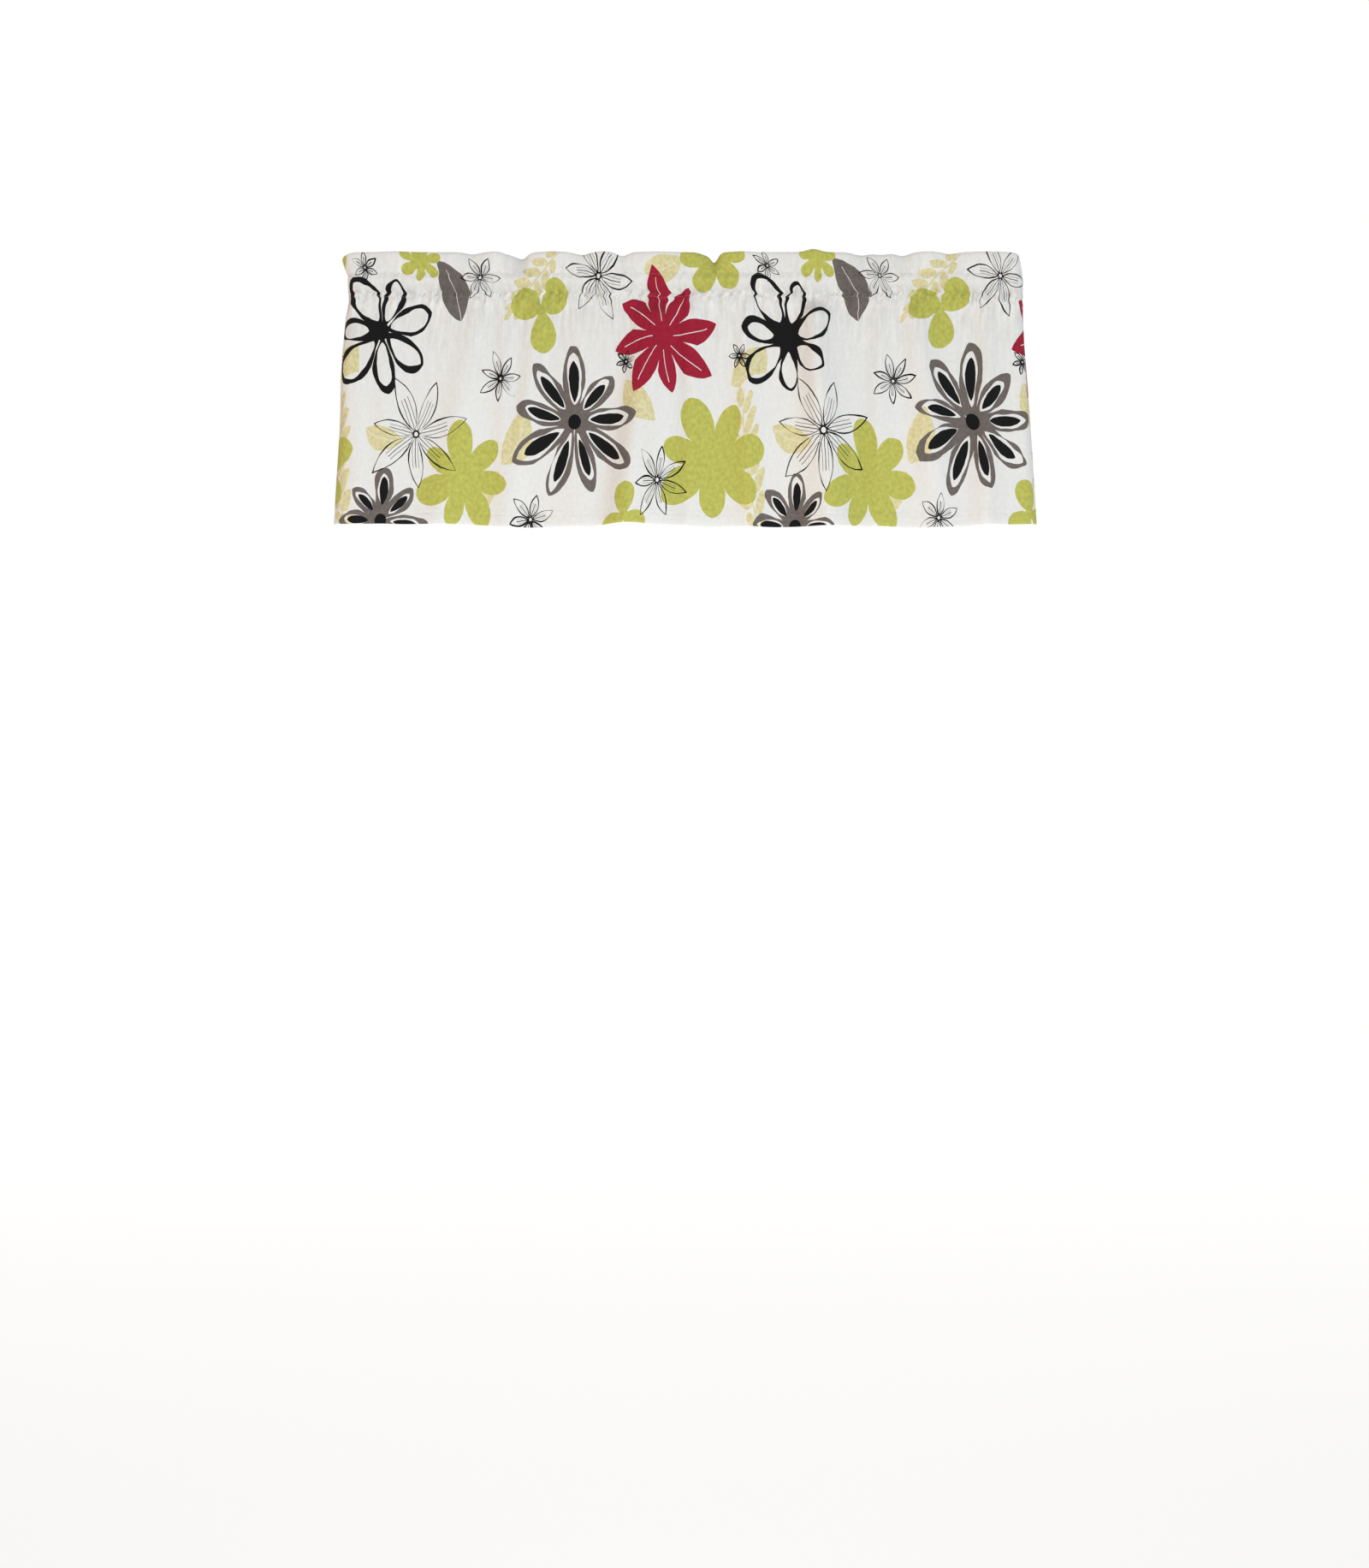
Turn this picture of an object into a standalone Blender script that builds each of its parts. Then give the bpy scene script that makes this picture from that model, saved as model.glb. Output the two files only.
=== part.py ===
"""Window valance: one length of printed cotton gathered on a flat curtain rod.

A ruffle stands above the rod pocket, the pocket follows the rod along the front and round both
corners to the wall, and a single layer hangs below it in soft uneven folds to a turned hem.

Units are metres, +Z up, +X to the viewer's right and -Y towards the viewer. The origin is the
middle of the ruffle's top edge, straight above the rod's centre line. Places along the cloth are
measured from that middle, along the rod's centre line and round its corners.
"""

import math
from collections import namedtuple

import bmesh
import bpy
import numpy as np

MM = 0.001

# Overall sizes
ROD_WIDTH = 0.945  # across the outside of the pocket
HEM_WIDTH = 0.981  # across the outside of the hem, where the returns swing out
DROP = 0.381  # ruffle top to hem
RETURN_DEPTH = 0.051  # front of the pocket to the wall

# The cloth and its heading
CLOTH = 0.0012
RUFFLE_HEIGHT = 0.031  # top edge to the upper line of stitching
POCKET_HEIGHT = 0.032  # upper to lower line of stitching
SEAM_ALLOWANCE = 0.0025  # below the lower line, where the turned layer ends
HEM_HEIGHT = 0.015
SIDE_HEM_WIDTH = 0.012
PART_GAP = 0.0003  # between neighbouring solids

# The pocket's channel, which holds a flat rod
CHANNEL_DEPTH = 0.0088
CHANNEL_SHOULDER = 0.006  # height over which each stitched line opens to the full depth
CHANNEL_ROOF = 0.0042  # width of the channel's flat roof and floor
CHANNEL_SEAM = 0.0035  # from each line of stitching to the roof or floor
SEAM_SET = 0.003  # both lines of stitching lie this far in front of the rod's centre line
CORNER_RADIUS = 0.012  # of the rod's centre line

POCKET_STAND = CHANNEL_DEPTH / 2 + CLOTH  # the pocket's skin from the rod's centre line
HALF_FRONT = ROD_WIDTH / 2 - CORNER_RADIUS - POCKET_STAND
CORNER_LENGTH = CORNER_RADIUS * math.pi / 2
WALL_Y = RETURN_DEPTH - POCKET_STAND
RETURN_STRAIGHT = WALL_Y - CORNER_RADIUS
HALF_LENGTH = HALF_FRONT + CORNER_LENGTH + RETURN_STRAIGHT
FLARE = (HEM_WIDTH - ROD_WIDTH) / 2

UPPER_SEAM = -RUFFLE_HEIGHT
LOWER_SEAM = UPPER_SEAM - POCKET_HEIGHT
HEADING_BASE = LOWER_SEAM - SEAM_ALLOWANCE
SKIRT_TOP = HEADING_BASE - PART_GAP
SKIRT_BASE = -DROP

# How finely the cloth is divided
FRONT_STEP = 0.0088
CORNER_STEPS = 4
RETURN_STEPS = 4
SKIRT_BANDS = 7  # from the pocket to the hem

# Folds of the hanging cloth, in millimetres. Each is a ridge whose crest runs from rod_at to
# hem_at. It stands depth in front of the cloth beside it at the hem, and reach is its half width.
# kept is the share of that depth that is left at the hem.
Fold = namedtuple("Fold", "rod_at hem_at depth reach kept")
FOLDS = (
    Fold(-496, -506, 7, 15, 1.0),
    Fold(-414, -424, 11, 18, 1.0),
    Fold(-289, -343, 26, 31, 1.0),
    Fold(-253, -255, 9, 15, 0.8),
    Fold(-200, -246, 15, 19, 0.3),
    Fold(-145, -150, 8, 28, 0.8),
    Fold(-40, -82, 30, 31, 1.0),
    Fold(11, 6, 14, 18, 0.9),
    Fold(85, 92, 13, 21, 0.7),
    Fold(196, 208, 22, 33, 1.0),
    Fold(272, 269, 12, 20, 0.6),
    Fold(359, 343, 20, 27, 1.0),
    Fold(424, 420, 13, 20, 1.0),
    Fold(497, 508, 7, 15, 1.0),
)
FOLD_BACKSET = 0.36  # share of the mean ridge by which the whole front sits back
FOLD_START = 0.22  # share of its depth that a fold already has under the pocket
FOLD_TAPER = 0.62  # a fold's reach under the pocket, as a share of its reach at the hem
FLARE_CURVE = 1.2  # above 1, the sides swing out faster near the hem

# Tucks of the ruffle, in millimetres: where the top edge drops, how far it leans to the wall,
# and the half width.
Tuck = namedtuple("Tuck", "at drop lean reach")
TUCKS = (
    Tuck(-480, 6.0, -5.0, 13),
    Tuck(-405, -0.6, -2.0, 20),
    Tuck(-298, 4.0, 2.5, 16),
    Tuck(-264, -0.6, -2.0, 14),
    Tuck(-228, 10.0, 5.0, 15),
    Tuck(-185, -0.6, -2.0, 14),
    Tuck(-145, 3.4, 2.0, 13),
    Tuck(-118, -0.6, -2.0, 11),
    Tuck(-88, 4.8, 3.0, 10),
    Tuck(-40, -0.4, -2.0, 22),
    Tuck(41, 12.4, 6.0, 12),
    Tuck(80, -0.5, -2.5, 16),
    Tuck(179, -3.6, -3.0, 13),
    Tuck(251, 4.0, 2.5, 16),
    Tuck(305, 4.0, 3.0, 14),
    Tuck(340, -0.5, -2.0, 12),
    Tuck(371, 2.2, 2.0, 12),
    Tuck(420, -0.5, -2.0, 20),
    Tuck(480, 9.0, 3.0, 13),
)

# Gathers of the pocket, in millimetres: how far each stands off the pocket's face. Lines of
# stitching hold them flatter, and the rod's flat face flattens them between.
Gather = namedtuple("Gather", "at height reach")
GATHERS = (
    Gather(-448, 1.2, 9),
    Gather(-405, 0.8, 11),
    Gather(-345, 1.0, 12),
    Gather(-298, 1.6, 9),
    Gather(-239, 1.6, 9),
    Gather(-203, 1.2, 9),
    Gather(-150, 0.9, 12),
    Gather(-91, 1.5, 9),
    Gather(-30, 1.0, 12),
    Gather(30, 1.6, 9),
    Gather(60, 1.1, 8),
    Gather(86, 1.4, 9),
    Gather(135, 0.8, 12),
    Gather(178, 1.6, 10),
    Gather(245, 1.4, 9),
    Gather(307, 1.6, 9),
    Gather(365, 0.9, 12),
    Gather(430, 1.2, 10),
)
GATHER_AT_SEAM = 0.4  # share of a gather's height that is left at the stitching
GATHER_AT_MIDDLE = 0.6
MIDDLE_SAG = 0.0003  # how far the pocket's face stands off the rod between its edges


def clear_scene():
    """Takes every object out of the scene."""
    for thing in list(bpy.data.objects):
        bpy.data.objects.remove(thing, do_unlink=True)


def ridge(distance, reach):
    """A bell-shaped ridge of height 1: e to the power of minus (distance / reach) squared."""
    return np.exp(-((distance / reach) ** 2))


def rod_line(along, half_front):
    """The rod's centre line, level and square to the wall at its ends.

    Returns x and y at each place along it, and the outward direction there. half_front is half
    of the straight front, from the middle to the start of each corner.
    """
    side = np.sign(along)
    past = np.abs(along) - half_front
    turned = np.clip(past, 0, CORNER_LENGTH) / CORNER_RADIUS
    x = np.where(past < 0, np.abs(along), half_front + CORNER_RADIUS * np.sin(turned))
    y = CORNER_RADIUS * (1 - np.cos(turned)) + np.maximum(past - CORNER_LENGTH, 0)
    return side * x, y, side * np.sin(turned), -np.cos(turned)


def placed(along, offset, z, half_front=HALF_FRONT):
    """Points that stand offset outwards from the rod's centre line, at height z."""
    x, y, out_x, out_y = rod_line(along, half_front)
    return np.stack([x + out_x * offset, y + out_y * offset, z + 0 * x], axis=-1)


def front_places(start, end):
    """Evenly spaced places along the straight front."""
    steps = round((end - start) / FRONT_STEP)
    return np.linspace(start, end, steps + 1)


def return_places():
    """Places round the right-hand corner and along the return, to the wall."""
    corner = np.linspace(HALF_FRONT, HALF_FRONT + CORNER_LENGTH, CORNER_STEPS + 1)
    straight = np.linspace(HALF_FRONT + CORNER_LENGTH, HALF_LENGTH, RETURN_STEPS + 1)
    return np.concatenate([corner, straight[1:]])


def ruffle_shape(along):
    """How far the ruffle's top edge drops and how far it leans to the wall, at each place."""
    drop = sum(tuck.drop * ridge(along / MM - tuck.at, tuck.reach) for tuck in TUCKS)
    lean = sum(tuck.lean * ridge(along / MM - tuck.at, tuck.reach) for tuck in TUCKS)
    return drop * MM, lean * MM


def gathered(along):
    """How far the gathers stand off the pocket's face."""
    return sum(g.height * ridge(along / MM - g.at, g.reach) for g in GATHERS) * MM


def heading_skin(along):
    """The outside of the ruffle and pocket: one closed loop of points at each place."""
    drop, lean = ruffle_shape(along)
    bulge = gathered(along)
    lower_full, upper_full = LOWER_SEAM + CHANNEL_SHOULDER, UPPER_SEAM - CHANNEL_SHOULDER
    middle = (UPPER_SEAM + LOWER_SEAM) / 2
    front_seam, back_seam = SEAM_SET + CLOTH, SEAM_SET - CLOTH
    # height, place of the front layer's face, place of the back layer's face
    rows = (
        (HEADING_BASE, front_seam, back_seam),
        (LOWER_SEAM, front_seam + GATHER_AT_SEAM * bulge, back_seam),
        (lower_full, POCKET_STAND + bulge, -POCKET_STAND),
        (middle, POCKET_STAND + GATHER_AT_MIDDLE * bulge + MIDDLE_SAG, -POCKET_STAND),
        (upper_full, POCKET_STAND + bulge, -POCKET_STAND),
        (UPPER_SEAM, front_seam + GATHER_AT_SEAM * bulge, back_seam),
        (UPPER_SEAM / 2 - drop / 2, front_seam - lean / 2, back_seam - lean / 2),
        (-CLOTH - drop, front_seam - lean, back_seam - lean),
    )
    front = [placed(along, near, z) for z, near, _ in rows]
    back = [placed(along, far, z) for z, _, far in reversed(rows)]
    fold = placed(along, SEAM_SET - lean, -drop)
    return np.stack([*front, fold, *back], axis=1)


def heading_channel(along):
    """The inside of the pocket: one closed eight-sided loop at each place."""
    roof, floor = UPPER_SEAM - CHANNEL_SEAM, LOWER_SEAM + CHANNEL_SEAM
    roof_front, roof_back = (SEAM_SET + CHANNEL_ROOF) / 2, (SEAM_SET - CHANNEL_ROOF) / 2
    wall = CHANNEL_DEPTH / 2
    corners = (
        (roof_front, floor),
        (wall, floor + CHANNEL_SEAM),
        (wall, roof - CHANNEL_SEAM),
        (roof_front, roof),
        (roof_back, roof),
        (-wall, roof - CHANNEL_SEAM),
        (-wall, floor + CHANNEL_SEAM),
        (roof_back, floor),
    )
    return np.stack([placed(along, offset, z) for offset, z in corners], axis=1)


def fold_offset(along, fall):
    """How far the hanging cloth stands in front of the rod's centre line.

    Each fold is a ridge about a crest that runs straight from the rod to the hem. Its depth
    grows fast under the pocket and slowly near the hem, and its reach widens evenly. fall is 0
    under the pocket and 1 at the hem.
    """
    grown = FOLD_START + (1 - FOLD_START) * (1 - (1 - fall) ** 2)
    ridges, mean = 0, 0
    for fold in FOLDS:
        crest = fold.rod_at + (fold.hem_at - fold.rod_at) * fall
        reach = fold.reach * (FOLD_TAPER + (1 - FOLD_TAPER) * fall)
        height = fold.depth * grown * (1 - (1 - fold.kept) * fall)
        ridges = ridges + height * ridge(along / MM - crest, reach)
        mean = mean + height / len(FOLDS)
    return SEAM_SET + (ridges - FOLD_BACKSET * mean) * MM


def skirt_rows():
    """Heights of the hanging cloth's rows from top to bottom, and its thickness at each."""
    hem_line = SKIRT_BASE + HEM_HEIGHT
    body = np.linspace(SKIRT_TOP, hem_line + CLOTH, SKIRT_BANDS + 1)
    rows = [(z, CLOTH) for z in body]
    rows += [(hem_line, 2 * CLOTH), (SKIRT_BASE + CLOTH, 2 * CLOTH), (SKIRT_BASE, CLOTH)]
    return rows


def skirt_skin(places):
    """The hanging cloth: a closed loop at each place, down its face and up its back."""
    in_side_hem = np.abs(places) > HALF_LENGTH - SIDE_HEM_WIDTH
    face, back = [], []
    for z, thick in skirt_rows():
        fall = (SKIRT_TOP - z) / (SKIRT_TOP - SKIRT_BASE)
        half_front = HALF_FRONT + FLARE * fall**FLARE_CURVE
        stretch = half_front / HALF_FRONT
        past = np.sign(places) * (np.abs(places) - HALF_FRONT)
        on_front = np.abs(places) < HALF_FRONT
        along = np.where(on_front, places * stretch, np.sign(places) * half_front + past)
        skin = fold_offset(along, fall) + CLOTH / 2
        depth = np.where(in_side_hem, np.maximum(thick, 2 * CLOTH), thick)
        turned = CLOTH / 2 if z == SKIRT_BASE else 0
        face.append(placed(along, skin - turned, z, half_front))
        back.append(placed(along, skin - turned - depth, z, half_front))
    return np.stack([*face, *reversed(back)], axis=1)


def loft(name, loops):
    """One closed solid from loops of points carried along the cloth.

    Each entry of loops is an array of places by points by 3. The first is the outer skin, and any
    other is a channel that runs through from end to end. The two ends are filled flat.
    """
    shape = bmesh.new()
    ends = (set(), set())
    for loop in loops:
        rings = [[shape.verts.new(point) for point in ring] for ring in loop]
        for ring, following in zip(rings, rings[1:]):
            for near, far in zip(range(-1, len(ring) - 1), range(len(ring))):
                shape.faces.new((ring[near], ring[far], following[far], following[near]))
        ends[0].update(rings[0])
        ends[1].update(rings[-1])
    for end in ends:
        edges = [edge for edge in shape.edges if set(edge.verts) <= end]
        bmesh.ops.triangle_fill(shape, edges=edges, use_beauty=True)
    bmesh.ops.recalc_face_normals(shape, faces=shape.faces)
    mesh = bpy.data.meshes.new(name)
    shape.to_mesh(mesh)
    shape.free()
    mesh.shade_smooth()
    mesh.set_sharp_from_angle(angle=math.radians(50))
    return bpy.data.objects.new(name, mesh)


def cotton(name, colour):
    """Woven cotton in one colour: matt, with a little of the cloth's sheen."""
    material = bpy.data.materials.new(name)
    material.use_nodes = True
    shader = material.node_tree.nodes["Principled BSDF"]
    shader.inputs["Base Color"].default_value = (*colour, 1)
    shader.inputs["Roughness"].default_value = 0.9
    shader.inputs["Metallic"].default_value = 0
    shader.inputs["Sheen Weight"].default_value = 0.15
    return material


def add(collection, piece, material):
    """Gives the piece its material and puts it in the collection."""
    piece.data.materials.append(material)
    collection.objects.link(piece)


def build():
    """Makes the valance's four lengths of cloth: the heading in three runs, and the skirt."""
    clear_scene()
    valance = bpy.data.collections.new("window_valance")
    bpy.context.scene.collection.children.link(valance)

    right = return_places()
    runs = {
        "heading_front": front_places(PART_GAP - HALF_FRONT, HALF_FRONT - PART_GAP),
        "heading_return_left": -right[::-1],
        "heading_return_right": right,
    }
    for name, along in runs.items():
        heading = loft(name, [heading_skin(along), heading_channel(along)])
        add(valance, heading, cotton(name, (0.76, 0.75, 0.72)))

    front = front_places(-HALF_FRONT, HALF_FRONT)
    skirt = loft("skirt", [skirt_skin(np.concatenate([-right[::-1], front[1:-1], right]))])
    add(valance, skirt, cotton("skirt", (0.78, 0.77, 0.74)))


build()
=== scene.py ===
"""Dresses the window valance: one gathered length of printed cotton, its stitching and a studio.

Units are metres, +Z up, +X to the viewer's right and -Y towards the viewer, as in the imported
frame. The origin is the middle of the ruffle's top edge, straight above the rod's centre line.
Places along the cloth run round the rod's line from its left end to its right one.
"""

from __future__ import annotations

import logging
import math
from collections.abc import Iterator
from dataclasses import dataclass, field
from enum import Enum
from functools import partialmethod
from typing import NamedTuple, Union

import bpy
import numpy as np
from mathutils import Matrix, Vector

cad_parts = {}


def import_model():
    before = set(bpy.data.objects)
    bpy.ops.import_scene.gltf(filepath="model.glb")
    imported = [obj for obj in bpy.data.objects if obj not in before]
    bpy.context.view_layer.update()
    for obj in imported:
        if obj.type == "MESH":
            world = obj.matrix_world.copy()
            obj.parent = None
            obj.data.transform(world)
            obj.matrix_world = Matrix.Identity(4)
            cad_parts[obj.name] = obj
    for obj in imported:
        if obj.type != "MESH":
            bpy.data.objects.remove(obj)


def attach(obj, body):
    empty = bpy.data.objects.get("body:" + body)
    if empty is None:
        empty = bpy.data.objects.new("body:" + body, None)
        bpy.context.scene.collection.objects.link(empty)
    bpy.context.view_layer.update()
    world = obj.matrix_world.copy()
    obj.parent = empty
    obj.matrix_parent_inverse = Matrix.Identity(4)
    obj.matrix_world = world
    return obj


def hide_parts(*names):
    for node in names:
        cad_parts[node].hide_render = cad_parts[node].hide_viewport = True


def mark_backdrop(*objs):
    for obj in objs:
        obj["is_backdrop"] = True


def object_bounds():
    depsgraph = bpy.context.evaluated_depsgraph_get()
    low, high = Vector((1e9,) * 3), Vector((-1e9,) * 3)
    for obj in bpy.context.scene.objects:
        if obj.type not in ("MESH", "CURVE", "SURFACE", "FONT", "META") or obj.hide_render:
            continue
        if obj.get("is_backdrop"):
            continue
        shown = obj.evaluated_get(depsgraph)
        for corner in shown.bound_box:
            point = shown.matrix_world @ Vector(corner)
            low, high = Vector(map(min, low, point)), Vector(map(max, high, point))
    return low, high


LOG = logging.getLogger("window_valance")

MM = 0.001
TAU = 2 * math.pi

Value = Union["Flow", float, tuple]
Point = tuple[float, float]
Colour = tuple[float, float, float, float]
Coat = tuple["Flow", Value]  # a mask, and the ink laid where it is 1


# --- Shapes of the hanging cloth, in millimetres along the rod's line ---


class Fold(NamedTuple):
    """A ridge of the hanging cloth whose crest runs from rod_at to hem_at."""

    rod_at: float
    hem_at: float
    depth: float  # in front of the cloth beside it
    reach: float  # half width at the hem
    kept: float  # share of the depth that is left at the hem


class Tuck(NamedTuple):
    """A place where the ruffle's top edge drops and leans back."""

    at: float
    drop: float
    lean: float
    reach: float


class Gather(NamedTuple):
    """A place where the pocket's face stands off the rod."""

    at: float
    height: float
    reach: float


class Crease(NamedTuple):
    """A soft crease of the skirt, from top down to foot. A trough has a depth below zero."""

    top_at: float
    foot_at: float
    top: float  # heights, down from the ruffle's top edge
    foot: float
    depth: float
    reach: float


class Sag(NamedTuple):
    """A place where the hem hangs lower, or higher where drop is below zero."""

    at: float
    drop: float
    reach: float


FOLDS = tuple(
    Fold(*row)
    for row in (
        (-496, -506, 7, 15, 1.0), (-414, -424, 4, 18, 1.0), (-289, -343, 10, 27, 0.8),
        (-253, -255, 9, 15, 0.3), (-200, -246, 15, 19, 0.3), (-145, -150, 8, 28, 0.8),
        (-44, -84, 27, 31, 1.0), (11, 6, 13, 19, 0.6), (85, 92, 13, 21, 0.7),
        (180, 204, 25, 33, 1.0), (272, 269, 12, 20, 0.6), (322, 356, 20, 27, 0.5),
        (424, 420, 13, 20, 1.0), (497, 508, 7, 15, 1.0),
    )
)

TUCKS = tuple(
    Tuck(*row)
    for row in (
        (-480, 5.0, -9.0, 13), (-405, -0.6, -2.0, 20), (-298, 2.4, 2.5, 14),
        (-264, -0.6, -2.0, 14), (-240, 4.0, 5.0, 16), (-228, 5.6, 5.0, 9),
        (-185, -0.6, -2.0, 14), (-145, 3.4, 2.0, 13), (-118, -0.6, -2.0, 11),
        (-88, 4.8, 3.0, 10), (-40, -0.4, -2.0, 22), (33, 4.0, 4.5, 13), (41, 9.6, 6.0, 6.5),
        (80, -0.5, -2.5, 16), (179, -3.6, -3.0, 13), (246, 3.4, 4.5, 15), (276, 2.8, 3.5, 16),
        (305, 4.0, 5.0, 12), (340, -0.5, -2.0, 12), (371, 2.2, 2.0, 12), (420, -0.5, -2.0, 20),
        (480, 9.0, 7.0, 13),
    )
)

GATHERS = tuple(
    Gather(*row)
    for row in (
        (-448, 1.2, 9), (-405, 0.8, 11), (-345, 1.0, 12), (-298, 1.6, 9), (-239, 1.6, 9),
        (-203, 1.2, 9), (-150, 0.9, 12), (-91, 1.5, 9), (-30, 1.0, 12), (30, 1.6, 9),
        (60, 1.1, 8), (86, 1.4, 9), (135, 0.8, 12), (178, 1.6, 10), (245, 1.4, 9),
        (307, 1.6, 9), (365, 0.9, 12), (430, 1.2, 10),
    )
)

CREASES = tuple(
    Crease(*row)
    for row in (
        (-490, -492, 66, 250, 4.0, 18), (-462, -460, 120, 520, 6.5, 18),
        (-430, -428, 100, 520, 3.0, 24), (-426, -428, 60, 120, -1.6, 7),
        (-438, -434, 66, 190, 1.4, 6), (-330, -326, 66, 150, 1.2, 7),
        (-268, -262, 70, 230, -1.6, 8), (-214, -226, 66, 160, 1.8, 7),
        (-172, -176, 66, 140, -1.2, 8), (-110, -104, 66, 210, 1.5, 8),
        (-66, -72, 80, 230, 2.4, 9), (52, 50, 66, 170, 1.6, 7), (128, 134, 66, 200, 1.3, 9),
        (150, 150, 66, 230, -1.8, 8), (180, 184, 66, 290, 8.0, 16),
        (-32, -48, 66, 200, 2.4, 15), (2, 3, 66, 210, 2.2, 12), (316, 320, 66, 180, 1.4, 8),
        (392, 388, 66, 160, -1.2, 8), (448, 452, 66, 220, 1.2, 7),
    )
)

SAGS = tuple(
    Sag(*row)
    for row in (
        (-514, -7.0, 30), (-215, 5.0, 55), (-130, 3.0, 35), (25, 3.0, 35), (105, 4.0, 58),
        (205, 4.2, 62), (330, 5.2, 62), (514, -7.0, 30),
    )
)

# how much of the puckers is left, by distance down from the ruffle's top edge
PUCKER_SHARES: tuple[Point, ...] = (
    (0, 0.45), (14, 0.7), (25, 1.0), (31, 0.6), (37, 1.3), (46, 0.8), (53, 1.2), (58.5, 2.6),
    (63, 0.9), (67.5, 2.6), (75, 1.0), (86, 0.55), (112, 0.25), (150, 0.08), (190, 0.0),
)


def ridge(distance: np.ndarray, reach: float) -> np.ndarray:
    """A bell-shaped ridge of height 1: e to the power of minus (distance / reach) squared."""
    return np.exp(-((distance / reach) ** 2))


def eased(share: np.ndarray) -> np.ndarray:
    """Runs smoothly from 0 to 1: 3 times the square less 2 times the cube, kept within 0 to 1."""
    share = np.clip(share, 0, 1)
    return share * share * (3 - 2 * share)


def wave(along: np.ndarray, length: float, phase: np.ndarray = 0.0) -> np.ndarray:
    """A sine of height 1: of a full turn for each length, plus the phase."""
    return np.sin(TAU * along / length + phase)


def spaced(start: float, *stops: tuple[float, int]) -> np.ndarray:
    """Numbers that run from start to each stop in turn, evenly between two stops.

    Args:
        start: The first number.
        stops: Each stop, and in how many steps the numbers reach it.

    Returns:
        All of the numbers, start included.
    """
    runs, at = [[start]], start
    for stop, steps in stops:
        runs.append(np.linspace(at, stop, steps + 1)[1:])
        at = stop
    return np.concatenate(runs)


def nearest(values: np.ndarray, wanted: float) -> int:
    """The index of the value nearest to the one wanted."""
    return int(np.argmin(np.abs(values - wanted)))


@dataclass(frozen=True)
class RodLine:
    """The flat curtain rod's centre line, which is level and turns straight back at its ends."""

    width: float = 0.951  # across the outside of the pocket
    depth: float = 0.051  # from the front of the pocket to the ends
    corner_radius: float = 0.012
    stand: float = 0.0056  # the pocket's skin from the centre line

    @property
    def half_front(self) -> float:
        """Half of the straight front, up to the start of a corner."""
        return self.width / 2 - self.corner_radius - self.stand

    @property
    def corner_length(self) -> float:
        """A quarter turn at the corner's radius."""
        return self.corner_radius * math.pi / 2

    @property
    def half_length(self) -> float:
        """From the middle of the front, round a corner, to an end."""
        straight = self.depth - self.stand - self.corner_radius
        return self.half_front + self.corner_length + straight

    def place(
        self, along: np.ndarray, offset: np.ndarray, z: np.ndarray, half_front: np.ndarray | float
    ) -> np.ndarray:
        """Points that stand off the line.

        Up to half_front the line is straight. Past it, the line turns by (distance past) /
        radius until it faces sideways, and then runs straight back. Each point stands
        offset along the outward direction, which is (sine, -cosine) of that turn.

        Args:
            along: Distance from the middle, along the line.
            offset: How far outwards each point stands.
            z: Height of each point.
            half_front: Half of the straight front, for all rows or at each.

        Returns:
            An array of rows by columns by 3.
        """
        side = np.sign(along)
        past = np.abs(along) - half_front
        turned = np.clip(past, 0, self.corner_length) / self.corner_radius
        x = np.where(past < 0, np.abs(along), half_front + self.corner_radius * np.sin(turned))
        y = self.corner_radius * (1 - np.cos(turned)) + np.maximum(past - self.corner_length, 0)
        out_x, out_y = side * np.sin(turned), -np.cos(turned)
        return np.stack([side * x + out_x * offset, y + out_y * offset, z + 0 * x], axis=-1)


# --- Shader nodes ---


@dataclass(frozen=True, eq=False)
class Flow:
    """A number, vector or colour that one material's nodes work out.

    Arithmetic on it adds a node for each step, in the order in which the steps are written,
    which keeps few values alive at a time. With a vector or colour, a number counts for each of
    its parts. A comparison gives 1 where it holds and 0 elsewhere, and | the larger of two.
    """

    bench: Bench
    socket: bpy.types.NodeSocket

    def step(self, operation: str, *others: Value, output: int = 0) -> Flow:
        """One step of arithmetic, by the name of its operation in Blender."""
        kind = "ShaderNodeMath" if self.socket.type == "VALUE" else "ShaderNodeVectorMath"
        return self.bench.add(kind, dict(enumerate((self, *others))), output, operation=operation)

    __add__ = partialmethod(step, "ADD")
    __sub__ = partialmethod(step, "SUBTRACT")
    __mul__ = partialmethod(step, "MULTIPLY")
    __truediv__ = partialmethod(step, "DIVIDE")
    __abs__ = partialmethod(step, "ABSOLUTE")
    __lt__ = partialmethod(step, "LESS_THAN")
    __or__ = partialmethod(step, "MAXIMUM")

    def split(self) -> list[Flow]:
        """The three numbers of a vector."""
        first = self.bench.add("ShaderNodeSeparateXYZ", {0: self})
        return [Flow(self.bench, output) for output in first.socket.node.outputs]

    def noise(self, size: float, detail: float = 0.0, output: int = 0) -> Flow:
        """Smooth flat noise at this place, whose lumps are about size across."""
        fed = {0: self, 2: 1 / size, 3: detail}
        return self.bench.add("ShaderNodeTexNoise", fed, output, noise_dimensions="2D")


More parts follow.
